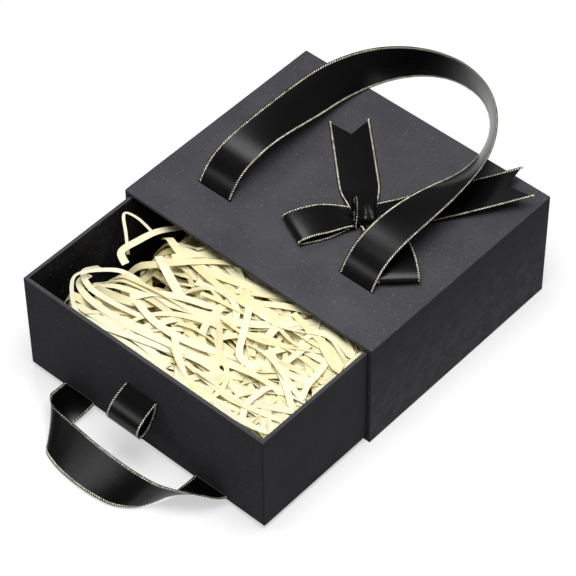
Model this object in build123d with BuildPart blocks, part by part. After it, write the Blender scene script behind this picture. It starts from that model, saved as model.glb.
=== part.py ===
"""Sliding drawer gift box: a rigid sleeve, a drawer, a bow, two ribbon handles, a pull tab and shred.

Millimetres. The origin is the centre of the sleeve's underside, +X to the right along the drawer's
front, +Y into the sleeve and +Z up. The drawer is drawn at its rest place, pulled part way out.
"""

import os
from math import cos, degrees, exp, pi, radians, sin, sqrt

from build123d import *

# ---- sleeve ----
sleeve_width = 190.0
sleeve_depth = 160.0
sleeve_height = 79.0
board = 2.0
wrap = 0.3
lining = 0.2

# ---- drawer ----
drawer_side_gap = 0.5
drawer_floor_gap = 0.3
drawer_top_gap = 1.1
drawer_back_gap = 0.5
drawer_pull = 86.4

# ---- ribbon, the same stock for both handles, the tab and the bow ----
ribbon_width = 25.0
ribbon_thick = 0.6
slot_end_gap = 1.0
slot_side_gap = 0.3
root_gap = 0.5
touch_gap = 0.3

# ---- top handle: two slots, a loop that lies back over the top ----
handle_pitch = 109.0
handle_slot_back = 33.8
handle_leg = 91.0
handle_depth = 71.0
handle_rise = 18.5
handle_rise_run = 10.5
handle_settle = 6.2
handle_settle_run = 120.0
handle_turn = 102.0
handle_turn_from = 30.0
handle_turn_to = 185.0
handle_anchor_length = 22.0

# ---- front handle: two slots at the foot of the drawer's front, a loop on the floor in front ----
front_pitch = 104.0
front_leg = 22.0
front_depth = 26.5
front_edge_height = 2.0
front_sway = 4.0
front_turn = 128.0
front_turn_run = 60.0
front_turn_rate = 1.8
front_anchor_length = 24.0

# ---- pull tab: a hanging loop in one slot of the drawer's front ----
tab_slot_height = 43.5
tab_length = 22.5
tab_gape = 12.0
tab_hang = 47.0
tab_anchor_height = 14.0

# ---- bow, tied flat on the top ----
bow_x = 26.0
bow_y = -6.0
knot_size = 14.5
knot_turn = -33.0
knot_height = 9.5
knot_round = 3.0
pad_size = 10.0
pad_thick = 1.0
gathered_width = 9.0
bow_loop_height = 6.6
left_loop_length = 44.0
left_loop_angle = -127.0
right_loop_length = 60.0
right_loop_angle = -26.5
back_tail_length = 82.0
back_tail_angle = 137.0
right_tail_length = 97.0
right_tail_angle = 54.0
right_tail_lift = 9.4
tail_notch = 12.0

# ---- shred that fills the drawer ----
shred_front_height = 62.0
shred_back_height = 46.0
shred_left_drop = 26.0
shred_left_width = 52.0
shred_left_run = 100.0
strip_count = 44
strip_width = 4.0
strip_bed = 6.5
strip_length = 95.0
strip_radius = 62.0
strip_slope = 4.5
strip_turn = 111.0

# ---- places that follow from the sizes above ----
sleeve_shell = wrap + board + lining
bay_width = sleeve_width - 2 * sleeve_shell
bay_height = sleeve_height - 2 * sleeve_shell
bay_depth = sleeve_depth - sleeve_shell
drawer_width = bay_width - 2 * drawer_side_gap
drawer_height = bay_height - drawer_floor_gap - drawer_top_gap
drawer_depth = bay_depth - drawer_back_gap
sleeve_front = -sleeve_depth / 2
drawer_front = sleeve_front - drawer_pull
drawer_middle = drawer_front + drawer_depth / 2
drawer_bottom = sleeve_shell + drawer_floor_gap
drawer_top = drawer_bottom + drawer_height
drawer_floor = drawer_bottom + sleeve_shell
drawer_inner_front = drawer_front + sleeve_shell
drawer_inner_width = drawer_width - 2 * sleeve_shell
drawer_inner_depth = drawer_depth - 2 * sleeve_shell
slot_length = ribbon_width + 2 * slot_end_gap
slot_opening = ribbon_thick + 2 * slot_side_gap
handle_slot_y = sleeve_front + handle_slot_back
front_slot_z = drawer_floor + ribbon_thick / 2
tab_z = drawer_bottom + tab_slot_height
tab_slot_opening = 2 * ribbon_thick + 2 * slot_side_gap
bow_base = sleeve_height
right, left = 1, -1

os.makedirs("parts", exist_ok=True)


def ease(value, start, end):
    """Go smoothly from 0 at start to 1 at end."""
    share = min(max((value - start) / (end - start), 0.0), 1.0)
    return share * share * (3 - 2 * share)


def ribbon_section(centre, along, across, width=ribbon_width):
    """Sketch the ribbon's cross-section at one place on its way."""
    across = across - along * across.dot(along)
    with BuildSketch(Plane(origin=centre, x_dir=across.normalized(), z_dir=along)) as section:
        Rectangle(width, ribbon_thick)
    return section.sketch


def keep(piece, name):
    """Label a finished piece and write it."""
    piece.part.label = name
    export_step(piece.part, f"parts/{name}.step")


def loop_way(pitch, leg, depth, lift, turn, guide=0.0, sway=0.0):
    """List (place, direction, width direction) along a ribbon loop on two slots.

    Local frame: x along the slots, y away from them, z up, the origin midway between the roots.
    Seen from above, the ribbon follows two straight legs and half an ellipse with its middle line,
    or with a line that lies the share guide of its width further in. lift gives that line's height
    and turn the tilt of the ribbon's width in degrees, both by the distance run from the nearer
    root, and sway moves the loop's far side along x.
    """
    half = pitch / 2 - guide * ribbon_width
    quarter = pi / 4 * sqrt(2 * (half**2 + depth**2))
    middle = leg + quarter
    steps = 40

    def line(run):
        side = left if run < middle else right
        near = min(run, 2 * middle - run)
        past = max(near - leg, 0.0) / quarter * pi / 2
        out = min(near, leg) + depth * sin(past)
        return Vector(side * half * cos(past) - sway * ease(out, 0, leg + depth), out, lift(near))

    def station(run):
        along = (line(min(run + 0.1, 2 * middle)) - line(max(run - 0.1, 0.0))).normalized()
        inward = Vector(along.Y, -along.X, 0).normalized()
        tilt = radians(turn(min(run, 2 * middle - run)))
        across = inward * cos(tilt) - Vector(0, 0, 1) * sin(tilt)
        across = (across - along * across.dot(along)).normalized()
        return line(run) - across * (guide * ribbon_width), along, across

    return [station(2 * middle * (index / steps)) for index in range(steps + 1)]


def teardrop_way(length, gape, steps=24):
    """List (run, height, direction) round a folded loop whose two ends meet at a point.

    run goes from 0 at the ends to length at the fold, and height from the loop's middle plane.
    """
    half = length / 2
    swell = gape / 2 / 0.77

    def spot(turn):
        return Vector(half + half * cos(turn), swell * sin(turn) * cos(turn / 2), 0)

    def station(turn):
        return spot(turn), (spot(turn - 0.01) - spot(turn + 0.01)).normalized()

    last = radians(166)
    return [station(last - 2 * last * (index / steps)) for index in range(steps + 1)]


# ---- sleeve boards ----
board_width = sleeve_width - 2 * wrap
board_depth = sleeve_depth - 2 * wrap
side_height = sleeve_height - 2 * wrap - 2 * board
side_depth = board_depth - board
sleeve_middle_z = sleeve_height / 2

with BuildPart() as sleeve_top_board:
    with BuildSketch(Plane.XY.offset(sleeve_height - wrap - board)):
        Rectangle(board_width, board_depth)
        with Locations((left * handle_pitch / 2, handle_slot_y), (right * handle_pitch / 2, handle_slot_y)):
            Rectangle(slot_length, slot_opening, mode=Mode.SUBTRACT)
    extrude(amount=board)
keep(sleeve_top_board, "sleeve_top_board")

with BuildPart() as sleeve_bottom_board:
    with BuildSketch(Plane.XY.offset(wrap)):
        Rectangle(board_width, board_depth)
    extrude(amount=board)
keep(sleeve_bottom_board, "sleeve_bottom_board")

for side, side_name in ((left, "left"), (right, "right")):
    with BuildPart() as sleeve_side_board:
        with BuildSketch(Plane.XY.offset(wrap + board)):
            with Locations((side * (board_width - board) / 2, -board / 2)):
                Rectangle(board, side_depth)
        extrude(amount=side_height)
    keep(sleeve_side_board, f"sleeve_{side_name}_board")

with BuildPart() as sleeve_back_board:
    with BuildSketch(Plane.XY.offset(wrap + board)):
        with Locations((0, (board_depth - board) / 2)):
            Rectangle(board_width, board)
    extrude(amount=side_height)
keep(sleeve_back_board, "sleeve_back_board")

# ---- sleeve papers: the wrap folds round the front edges and stops at the sheet underneath ----
with BuildPart() as sleeve_wrap_paper:
    with BuildSketch(Plane.XY.offset(wrap)):
        Rectangle(sleeve_width, sleeve_depth)
    extrude(amount=sleeve_height - wrap)
    with BuildSketch(Plane.XY.offset(wrap)):
        Rectangle(board_width, board_depth)
    extrude(amount=sleeve_height - 2 * wrap, mode=Mode.SUBTRACT)
    with BuildSketch(Plane.XZ.offset(-sleeve_front)):
        with Locations((0, sleeve_middle_z)):
            Rectangle(bay_width, bay_height)
    extrude(amount=-wrap, mode=Mode.SUBTRACT)
    with BuildSketch(Plane.XY.offset(sleeve_height)):
        with Locations((left * handle_pitch / 2, handle_slot_y), (right * handle_pitch / 2, handle_slot_y)):
            Rectangle(slot_length, slot_opening)
    extrude(amount=-wrap, mode=Mode.SUBTRACT)
keep(sleeve_wrap_paper, "sleeve_wrap_paper")

with BuildPart() as sleeve_base_paper:
    with BuildSketch():
        Rectangle(sleeve_width, sleeve_depth)
    extrude(amount=wrap)
keep(sleeve_base_paper, "sleeve_base_paper")

with BuildPart() as sleeve_lining:
    with BuildSketch(Plane.XZ.offset(-sleeve_front - wrap)):
        with Locations((0, sleeve_middle_z)):
            Rectangle(bay_width + 2 * lining, bay_height + 2 * lining)
    extrude(amount=-side_depth)
    with BuildSketch(Plane.XZ.offset(-sleeve_front)):
        with Locations((0, sleeve_middle_z)):
            Rectangle(bay_width, bay_height)
    extrude(amount=-bay_depth, mode=Mode.SUBTRACT)
    with BuildSketch(Plane.XY.offset(sleeve_height)):
        with Locations((left * handle_pitch / 2, handle_slot_y), (right * handle_pitch / 2, handle_slot_y)):
            Rectangle(slot_length, slot_opening)
    extrude(amount=-sleeve_shell, mode=Mode.SUBTRACT)
keep(sleeve_lining, "sleeve_lining")

# ---- drawer boards ----
tray_width = drawer_width - 2 * wrap
tray_depth = drawer_depth - 2 * wrap
wall_height = drawer_height - 2 * wrap - board
wall_base = drawer_bottom + wrap + board
front_slots = [(left * front_pitch / 2, front_slot_z), (right * front_pitch / 2, front_slot_z)]

with BuildPart() as drawer_base_board:
    with BuildSketch(Plane.XY.offset(drawer_bottom + wrap)):
        with Locations((0, drawer_middle)):
            Rectangle(tray_width, tray_depth)
    extrude(amount=board)
keep(drawer_base_board, "drawer_base_board")

with BuildPart() as drawer_front_board:
    with BuildSketch(Plane.XY.offset(wall_base)):
        with Locations((0, drawer_front + wrap + board / 2)):
            Rectangle(tray_width, board)
    extrude(amount=wall_height)
    with BuildSketch(Plane.XZ.offset(-drawer_front)):
        with Locations(*front_slots):
            Rectangle(slot_length, slot_opening)
        with Locations((0, tab_z)):
            Rectangle(slot_length, tab_slot_opening)
    extrude(amount=-sleeve_shell, mode=Mode.SUBTRACT)
keep(drawer_front_board, "drawer_front_board")

with BuildPart() as drawer_back_board:
    with BuildSketch(Plane.XY.offset(wall_base)):
        with Locations((0, drawer_front + drawer_depth - wrap - board / 2)):
            Rectangle(tray_width, board)
    extrude(amount=wall_height)
keep(drawer_back_board, "drawer_back_board")

for side, side_name in ((left, "left"), (right, "right")):
    with BuildPart() as drawer_side_board:
        with BuildSketch(Plane.XY.offset(wall_base)):
            with Locations((side * (tray_width - board) / 2, drawer_middle)):
                Rectangle(board, tray_depth - 2 * board)
        extrude(amount=wall_height)
    keep(drawer_side_board, f"drawer_{side_name}_board")

# ---- drawer papers: the wrap folds over the rim and meets the lining ----
with BuildPart() as drawer_wrap_paper:
    with BuildSketch(Plane.XY.offset(drawer_bottom)):
        with Locations((0, drawer_middle)):
            Rectangle(drawer_width, drawer_depth)
    extrude(amount=drawer_height)
    with BuildSketch(Plane.XY.offset(drawer_bottom + wrap)):
        with Locations((0, drawer_middle)):
            Rectangle(tray_width, tray_depth)
    extrude(amount=drawer_height - 2 * wrap, mode=Mode.SUBTRACT)
    with BuildSketch(Plane.XY.offset(drawer_top)):
        with Locations((0, drawer_middle)):
            Rectangle(drawer_inner_width, drawer_inner_depth)
    extrude(amount=-wrap, mode=Mode.SUBTRACT)
    with BuildSketch(Plane.XZ.offset(-drawer_front)):
        with Locations(*front_slots):
            Rectangle(slot_length, slot_opening)
        with Locations((0, tab_z)):
            Rectangle(slot_length, tab_slot_opening)
    extrude(amount=-wrap, mode=Mode.SUBTRACT)
keep(drawer_wrap_paper, "drawer_wrap_paper")

with BuildPart() as drawer_lining:
    with BuildSketch(Plane.XY.offset(wall_base)):
        with Locations((0, drawer_middle)):
            Rectangle(drawer_inner_width + 2 * lining, drawer_inner_depth + 2 * lining)
    extrude(amount=wall_height)
    with BuildSketch(Plane.XY.offset(drawer_floor)):
        with Locations((0, drawer_middle)):
            Rectangle(drawer_inner_width, drawer_inner_depth)
    extrude(amount=wall_height, mode=Mode.SUBTRACT)
    with BuildSketch(Plane.XZ.offset(-drawer_front)):
        with Locations(*front_slots):
            Rectangle(slot_length, slot_opening)
        with Locations((0, tab_z)):
            Rectangle(slot_length, tab_slot_opening)
    extrude(amount=-sleeve_shell, mode=Mode.SUBTRACT)
keep(drawer_lining, "drawer_lining")


# ---- top handle ----
def handle_lift(run):
    """Height of the handle's middle line over its root."""
    rise = handle_rise * (1 - exp(-run / handle_rise_run))
    return rise - handle_settle * ease(run, handle_turn_from, handle_settle_run)


def handle_tilt(run):
    """Turn of the handle's width from flat, in degrees."""
    return handle_turn * ease(run, handle_turn_from, handle_turn_to)


handle_way = loop_way(handle_pitch, handle_leg, handle_depth, handle_lift, handle_tilt)
handle_root = Vector(0, handle_slot_y, sleeve_height + root_gap)
with BuildPart() as handle_ribbon:
    loft([ribbon_section(handle_root + place, along, across) for place, along, across in handle_way])
keep(handle_ribbon, "handle_ribbon")

# Each end goes down through its slot and lies back under the top, against the lining.
for side, side_name in ((left, "left"), (right, "right")):
    end_plane = Plane.YZ.offset(side * handle_pitch / 2)
    ceiling = sleeve_height - sleeve_shell
    with BuildPart() as handle_anchor:
        with BuildSketch(end_plane):
            with Locations((handle_slot_y, ceiling - ribbon_thick)):
                Rectangle(ribbon_thick, sleeve_shell + ribbon_thick, align=(Align.CENTER, Align.MIN))
            with Locations((handle_slot_y - ribbon_thick / 2, ceiling - ribbon_thick)):
                Rectangle(handle_anchor_length, ribbon_thick, align=(Align.MIN, Align.MIN))
        extrude(amount=ribbon_width / 2, both=True)
    keep(handle_anchor, f"handle_anchor_{side_name}")


# ---- front handle ----
def front_lift(run):
    """Height of the front handle's lower edge over its root: it comes down to the floor."""
    return (front_edge_height - front_slot_z) * ease(run, 0, front_leg)


def front_tilt(run):
    """Turn of the front handle's width: it stands up, then leans back towards the drawer."""
    return front_turn * (1 - (1 - min(run / front_turn_run, 1.0)) ** front_turn_rate)


def outward(vector):
    """Point a direction of the loop's own frame out of the drawer's front."""
    return Vector(vector.X, -vector.Y, vector.Z)


front_way = loop_way(front_pitch, front_leg, front_depth, front_lift, front_tilt, 0.5, front_sway)
front_root = Vector(0, drawer_front - root_gap, front_slot_z)
with BuildPart() as front_handle_ribbon:
    loft(
        [
            ribbon_section(front_root + outward(place), outward(along), outward(across))
            for place, along, across in front_way
        ],
        ruled=True,
    )
keep(front_handle_ribbon, "front_handle_ribbon")

for side, side_name in ((left, "left"), (right, "right")):
    with BuildPart() as front_handle_anchor:
        with BuildSketch(Plane.XY.offset(drawer_floor)):
            with Locations((side * front_pitch / 2, drawer_front)):
                Rectangle(ribbon_width, sleeve_shell + front_anchor_length, align=(Align.CENTER, Align.MIN))
        extrude(amount=ribbon_thick)
    keep(front_handle_anchor, f"front_handle_anchor_{side_name}")

# ---- pull tab: one hanging loop, both its ends at the slot ----
tab_root = Vector(0, drawer_front - root_gap, tab_z)
tab_out = Vector(0, -cos(radians(tab_hang)), -sin(radians(tab_hang)))
tab_up = Vector(0, -sin(radians(tab_hang)), cos(radians(tab_hang)))
with BuildPart() as pull_tab_ribbon:
    loft(
        [
            ribbon_section(
                tab_root + tab_out * spot.X + tab_up * spot.Y,
                tab_out * along.X + tab_up * along.Y,
                Vector(1, 0, 0),
            )
            for spot, along in teardrop_way(tab_length, tab_gape)
        ]
    )
keep(pull_tab_ribbon, "pull_tab_ribbon")

with BuildPart() as pull_tab_anchor:
    with BuildSketch(Plane.XZ.offset(-drawer_front)):
        with Locations((0, tab_z)):
            Rectangle(ribbon_width, 2 * ribbon_thick)
    extrude(amount=-sleeve_shell - ribbon_thick)
    with BuildSketch(Plane.XZ.offset(-drawer_inner_front)):
        with Locations((0, tab_z)):
            Rectangle(ribbon_width, tab_anchor_height)
    extrude(amount=-ribbon_thick)
keep(pull_tab_anchor, "pull_tab_anchor")

# ---- bow ----
with BuildPart() as bow_adhesive_pad:
    with BuildSketch(Plane.XY.offset(bow_base)):
        with Locations((bow_x, bow_y)):
            Rectangle(pad_size, pad_size)
    extrude(amount=pad_thick)
keep(bow_adhesive_pad, "bow_adhesive_pad")


def flat_direction(angle):
    """Unit vector on the top, by its angle from +X."""
    return Vector(cos(radians(angle)), sin(radians(angle)), 0)


def knot_side(angle):
    """Distance from the knot's middle at which a gathered end clears the knot's side."""
    lean = radians(abs((angle - knot_turn + 45) % 90 - 45))
    return (knot_size / 2 + touch_gap + gathered_width / 2 * sin(lean)) / cos(lean)


with BuildPart() as bow_knot:
    with BuildSketch(
        Plane(
            origin=(bow_x, bow_y, bow_base + pad_thick),
            x_dir=flat_direction(knot_turn),
            z_dir=(0, 0, 1),
        )
    ):
        RectangleRounded(knot_size, knot_size, knot_round)
    extrude(amount=knot_height)
    fillet(bow_knot.faces().sort_by(Axis.Z)[-1].edges(), knot_round)
keep(bow_knot, "bow_knot")


def bow_loop(length, angle):
    """List the sections of one flattened bow loop, from the knot out and back."""
    outwards = flat_direction(angle)
    sideways = flat_direction(angle + 90)
    middle_height = touch_gap + ribbon_thick / 2 + bow_loop_height / 2
    start = Vector(bow_x, bow_y, bow_base + middle_height) + outwards * knot_side(angle)
    reach = length - knot_side(angle)

    def section(spot, along):
        spread = ease(spot.X, 0.0, reach * 0.6)
        width = gathered_width + (ribbon_width - gathered_width) * spread
        centre = start + outwards * spot.X + Vector(0, 0, spot.Y)
        return ribbon_section(centre, outwards * along.X + Vector(0, 0, along.Y), sideways, width)

    way = teardrop_way(reach, bow_loop_height)
    return [section(spot, along) for spot, along in way]


with BuildPart() as bow_loop_left:
    loft(bow_loop(left_loop_length, left_loop_angle))
keep(bow_loop_left, "bow_loop_left")

with BuildPart() as bow_loop_right:
    loft(bow_loop(right_loop_length, right_loop_angle))
keep(bow_loop_right, "bow_loop_right")


def bow_tail(length, angle, lift):
    """List the sections of one tail, from the knot to its tip, which may stand off the top."""
    outwards = flat_direction(angle)
    sideways = flat_direction(angle + 90)
    rest = touch_gap + ribbon_thick / 2
    gathered_height = rest + 2 * ribbon_thick

    def place(share):
        run = knot_side(angle) + (length - knot_side(angle)) * share
        height = rest + (gathered_height - rest) * (1 - ease(share, 0.0, 0.3)) + lift * share**1.5
        return Vector(bow_x, bow_y, bow_base + height) + outwards * run

    def section(share):
        along = (place(min(share + 0.01, 1.0)) - place(max(share - 0.01, 0.0))).normalized()
        width = gathered_width + (ribbon_width - gathered_width) * ease(share, -0.1, 0.35)
        return ribbon_section(place(share), along, sideways, width)

    steps = 8
    return [section(index / steps) for index in range(steps + 1)]


def tail_plane(length, angle):
    """Plane above the tail, at its tip, looking back along it."""
    tip = Vector(bow_x, bow_y, bow_base) + flat_direction(angle) * length
    return Plane(origin=tip, x_dir=flat_direction(angle), z_dir=(0, 0, 1))


for tail_name, tail_length, tail_angle, tail_lift in (
    ("back", back_tail_length, back_tail_angle, 0.0),
    ("right", right_tail_length, right_tail_angle, right_tail_lift),
):
    with BuildPart() as bow_tail_piece:
        loft(bow_tail(tail_length, tail_angle, tail_lift))
        with BuildSketch(tail_plane(tail_length, tail_angle)):
            with BuildLine():
                Polyline(
                    (ribbon_width, ribbon_width),
                    (-tail_notch, 0),
                    (ribbon_width, -ribbon_width),
                    close=True,
                )
            make_face()
        extrude(amount=right_tail_lift + tail_notch, mode=Mode.SUBTRACT)
    keep(bow_tail_piece, f"bow_tail_{tail_name}")

# ---- shred: a mound with crossing strips on it, high at the front and low at the back left ----
shred_base = drawer_floor + ribbon_thick + touch_gap
shred_front = drawer_inner_front + ribbon_thick + touch_gap
shred_back = drawer_inner_front + drawer_inner_depth - touch_gap
shred_half = drawer_inner_width / 2 - touch_gap


def shred_mound(sunk):
    """Make the mound with its top let down by the given depth."""
    front_top = shred_base + shred_front_height - sunk
    with BuildPart() as mound:
        with BuildSketch(Plane.YZ):
            with BuildLine():
                Polyline(
                    (shred_front, shred_base),
                    (shred_back, shred_base),
                    (shred_back, shred_base + shred_back_height - sunk),
                    (sleeve_front, front_top - touch_gap),
                    (shred_front, front_top),
                    close=True,
                )
            make_face()
        extrude(amount=shred_half, both=True)
        with BuildSketch(Plane.XZ.offset(-shred_back)):
            with BuildLine():
                Polyline(
                    (-shred_half, front_top - shred_left_drop),
                    (-shred_half, front_top),
                    (-shred_half + shred_left_width, front_top),
                    close=True,
                )
            make_face()
        extrude(amount=shred_left_run, mode=Mode.SUBTRACT)
    return mound.part


def strip_plane(index):
    """Plane of one strip's upper face, spread evenly over the mound and leaning down along it."""
    across = 2 * (index / golden_ratio % 1.0) - 1
    back = (index + 0.5) / strip_count
    y = shred_front + (shred_back - shred_front) * back
    fall = (shred_front_height - shred_back_height) * max(y - sleeve_front, 0.0) / (shred_back - sleeve_front)
    place = Vector(across * (shred_half - strip_width), y, shred_base + shred_front_height - fall - strip_bed / 2)
    heading = Vector(cos(radians(strip_turn * index)), sin(radians(strip_turn * index)), 0)
    lean = radians(strip_slope)
    return Plane(origin=place, x_dir=heading, z_dir=heading * sin(lean) + Vector(0, 0, 1) * cos(lean))


golden_ratio = (1 + sqrt(5)) / 2
strip_span = degrees(strip_length / strip_radius)
strip_root = shred_left_drop + strip_bed
with BuildSketch() as strip_outline:
    SlotArc(CenterArc((0, -strip_radius), strip_radius, 90 - strip_span / 2, strip_span), strip_width)
with BuildPart() as paper_shred:
    add(shred_mound(strip_bed))
    for index in range(strip_count):
        add(extrude(strip_plane(index) * strip_outline.sketch, amount=-strip_root, mode=Mode.PRIVATE))
    add(shred_mound(0.0), mode=Mode.INTERSECT)
keep(paper_shred, "paper_shred")
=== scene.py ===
"""Sliding drawer gift box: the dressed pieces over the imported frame, with studio and camera.

The frame is in metres: +X runs right along the drawer's front, +Y into the sleeve and +Z up.
Sizes in the classes of the box, the ribbons and the shred are millimetres and become metres
where a mesh is made. Those in the finishes and the studio are metres, apart from the lens.
"""

import logging
import random
from dataclasses import dataclass, field
from enum import Enum
from math import cos, exp, pi, radians, sin, sqrt, tau
from typing import Callable, Iterable

import bmesh
import bpy
import numpy as np
from mathutils import Matrix, Vector


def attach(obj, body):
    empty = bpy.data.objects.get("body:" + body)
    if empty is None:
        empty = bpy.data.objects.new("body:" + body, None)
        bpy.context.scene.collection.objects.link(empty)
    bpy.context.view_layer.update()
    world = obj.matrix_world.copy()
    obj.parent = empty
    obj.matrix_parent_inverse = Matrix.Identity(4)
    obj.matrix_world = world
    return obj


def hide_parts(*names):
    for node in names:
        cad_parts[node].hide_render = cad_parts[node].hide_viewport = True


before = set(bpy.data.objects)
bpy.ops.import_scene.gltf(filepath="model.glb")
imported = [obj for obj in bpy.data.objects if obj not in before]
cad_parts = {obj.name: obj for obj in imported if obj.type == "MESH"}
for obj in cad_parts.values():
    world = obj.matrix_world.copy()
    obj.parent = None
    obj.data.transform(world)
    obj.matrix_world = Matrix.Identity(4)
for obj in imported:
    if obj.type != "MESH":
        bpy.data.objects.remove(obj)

Colour = tuple[float, float, float]
Point = tuple[float, float, float]
Rung = tuple[Point, Point]
Socket = bpy.types.NodeSocket
Tree = bpy.types.NodeTree
Piece = bpy.types.Object

MM = 0.001
STOCK = 25.0  # the satin ribbon's flat width
TOUCH = 1e-6  # how near a place counts as on a side, in metres
UP = Vector((0.0, 0.0, 1.0))
WHITE = (1.0, 1.0, 1.0, 1.0)
log = logging.getLogger("gift_box")
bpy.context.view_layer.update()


def fixed(x: float, y: float, z: float) -> Vector:
    """Return a dataclass field that starts as a vector of its own."""
    return field(default_factory=lambda: Vector((x, y, z)))


class Body(Enum):
    """The bodies that pieces ride on."""

    SLEEVE = "sleeve"
    DRAWER = "drawer"
    TOP_HANDLE = "top_handle"
    FRONT_HANDLE = "front_handle"
    PULL_TAB = "pull_tab"


class Slot(Enum):
    """The record's material slots, passed with the dressed pieces but not used."""

    WRAP = "wrap_paper"
    RIBBON = "satin_ribbon"
    SHRED = "shred_paper"


# ---------------------------------------------------------------- shader graphs


class Graph:
    """Adds and links the nodes of one node tree."""

    def __init__(self, tree: Tree) -> None:
        """Keep the tree and empty it."""
        self.tree = tree
        tree.nodes.clear()

    def feed(self, socket: Socket, value: object) -> None:
        """Link or set an input.

        Args:
            socket: The input.
            value: Another node's output, or the value to set.
        """
        if isinstance(value, Socket):
            self.tree.links.new(value, socket)
        else:
            socket.default_value = value

    def node(self, kind: str, inputs: dict | None = None, **settings: object) -> bpy.types.Node:
        """Add one node.

        Args:
            kind: The node's bl_idname.
            inputs: Values or sockets by input name or index.
            settings: Properties set on the node before its inputs.

        Returns:
            The new node.
        """
        made = self.tree.nodes.new(kind)
        for name, value in settings.items():
            setattr(made, name, value)
        for name, value in (inputs or {}).items():
            self.feed(made.inputs[name], value)
        return made

    def math(self, operation: str, first: object, second: object = 0.0, third: object = 0.0) -> Socket:
        """Add a math node and return its output."""
        return self.node("ShaderNodeMath", {0: first, 1: second, 2: third}, operation=operation).outputs[0]

    def steps(self, value: Socket, low: float, high: float) -> Socket:
        """Return value brought smoothly from 0 at low to 1 at high."""
        inputs = {"Value": value, "From Min": low, "From Max": high}
        return self.node("ShaderNodeMapRange", inputs, interpolation_type="SMOOTHSTEP").outputs["Result"]

    def wave(self, value: Socket) -> Socket:
        """Return a wave from 0 to 1 that repeats at each whole value."""
        return self.math("MULTIPLY_ADD", self.math("SINE", self.math("MULTIPLY", value, tau)), 0.5, 0.5)

    def noise(
        self, vector: Socket, scale: object, detail: float, rough: float = 0.5, warp: float = 0.0
    ) -> Socket:
        """Add a noise texture and return its strength."""
        inputs = {"Vector": vector, "Scale": scale, "Detail": detail, "Roughness": rough, "Distortion": warp}
        return self.node("ShaderNodeTexNoise", inputs).outputs["Fac"]

    def attribute(self, name: str) -> Socket:
        """Return a value written on the mesh."""
        return self.node("ShaderNodeAttribute", attribute_name=name).outputs["Fac"]

    def mix(self, factor: Socket, first: object, second: object) -> Socket:
        """Mix two colours.

        Args:
            factor: 0 for the first colour and 1 for the second.
            first: A colour or a socket.
            second: A colour or a socket.

        Returns:
            The mixed colour.
        """
        made = self.node("ShaderNodeMix", {0: factor}, data_type="RGBA")
        for index, value in ((6, first), (7, second)):
            self.feed(made.inputs[index], (*value, 1.0) if isinstance(value, tuple) else value)
        return made.outputs[2]

    def group(self, tree: Tree, inputs: dict) -> bpy.types.bpy_prop_collection:
        """Place a node group.

        Args:
            tree: The group.
            inputs: Its values or sockets by input name.

        Returns:
            Its outputs.
        """
        made = self.tree.nodes.new("ShaderNodeGroup")
        made.node_tree = tree
        for name, value in inputs.items():
            self.feed(made.inputs[name], value)
        return made.outputs

    def give(self, values: dict[str, Socket]) -> Tree:
        """End a group with its output values and return its tree."""
        self.node("NodeGroupOutput", values)
        return self.tree

    def surface(
        self, colour: Socket, rough: Socket, height: Socket, bump: tuple[float, float], levels: dict
    ) -> None:
        """End a material in a Principled surface.

        Args:
            colour: Its base colour.
            rough: Its roughness.
            height: The height that its bump follows.
            bump: The bump's strength, and its depth in metres.
            levels: Plain values of other inputs by name.
        """
        relief = self.node("ShaderNodeBump", {"Strength": bump[0], "Distance": bump[1], "Height": height})
        inputs = {"Base Color": colour, "Roughness": rough, "Normal": relief.outputs["Normal"], **levels}
        shader = self.node("ShaderNodeBsdfPrincipled", inputs)
        self.node("ShaderNodeOutputMaterial", {"Surface": shader.outputs[0]})


def shader_group(
    name: str, settings: dict[str, float], outputs: tuple[str, ...]
) -> tuple[Graph, dict[str, Socket]]:
    """Make a shader node group with a Vector input and named values.

    Args:
        name: The group's name.
        settings: Its other inputs, with their default values.
        outputs: The names of its outputs.

    Returns:
        The graph and its input sockets by name.
    """
    tree = bpy.data.node_groups.new(name, "ShaderNodeTree")
    tree.interface.new_socket(name="Vector", in_out="INPUT", socket_type="NodeSocketVector")
    for label, value in settings.items():
        socket = tree.interface.new_socket(name=label, in_out="INPUT", socket_type="NodeSocketFloat")
        socket.default_value = value
    for label in outputs:
        tree.interface.new_socket(name=label, in_out="OUTPUT", socket_type="NodeSocketFloat")
    graph = Graph(tree)
    given = graph.node("NodeGroupInput").outputs
    return graph, {label: given[label] for label in ("Vector", *settings)}


def paper_fibre_group() -> Tree:
    """Build the paper surface: mottling, fine grain and sparse pale fibres.

    Returns:
        The group, which gives Tone, Specks and Height.
    """
    settings = {"Grain": 900.0, "Specks": 700.0, "Share": 0.05}
    graph, given = shader_group("Paper fibre", settings, ("Tone", "Specks", "Height"))
    vector = given["Vector"]
    fine = graph.noise(vector, given["Grain"], 3.0, 0.65)
    slow = graph.noise(vector, 26.0, 4.0, 0.6)
    spread = {"Vector": vector, "Scale": given["Specks"], "Randomness": 1.0}
    cells = graph.node("ShaderNodeTexVoronoi", spread)
    chance = graph.node("ShaderNodeSeparateColor", {"Color": cells.outputs["Color"]})
    near = graph.math("SUBTRACT", 1.0, graph.steps(cells.outputs["Distance"], 0.16, 0.42))
    picked = graph.math("GREATER_THAN", chance.outputs["Red"], graph.math("SUBTRACT", 1.0, given["Share"]))
    strength = graph.math("MULTIPLY_ADD", chance.outputs["Green"], 0.75, 0.25)
    specks = graph.math("MULTIPLY", graph.math("MULTIPLY", near, picked), strength)
    tone = graph.math("MULTIPLY_ADD", fine, 0.6, graph.math("MULTIPLY", slow, 0.4))
    return graph.give({"Tone": tone, "Specks": specks, "Height": fine})


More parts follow.
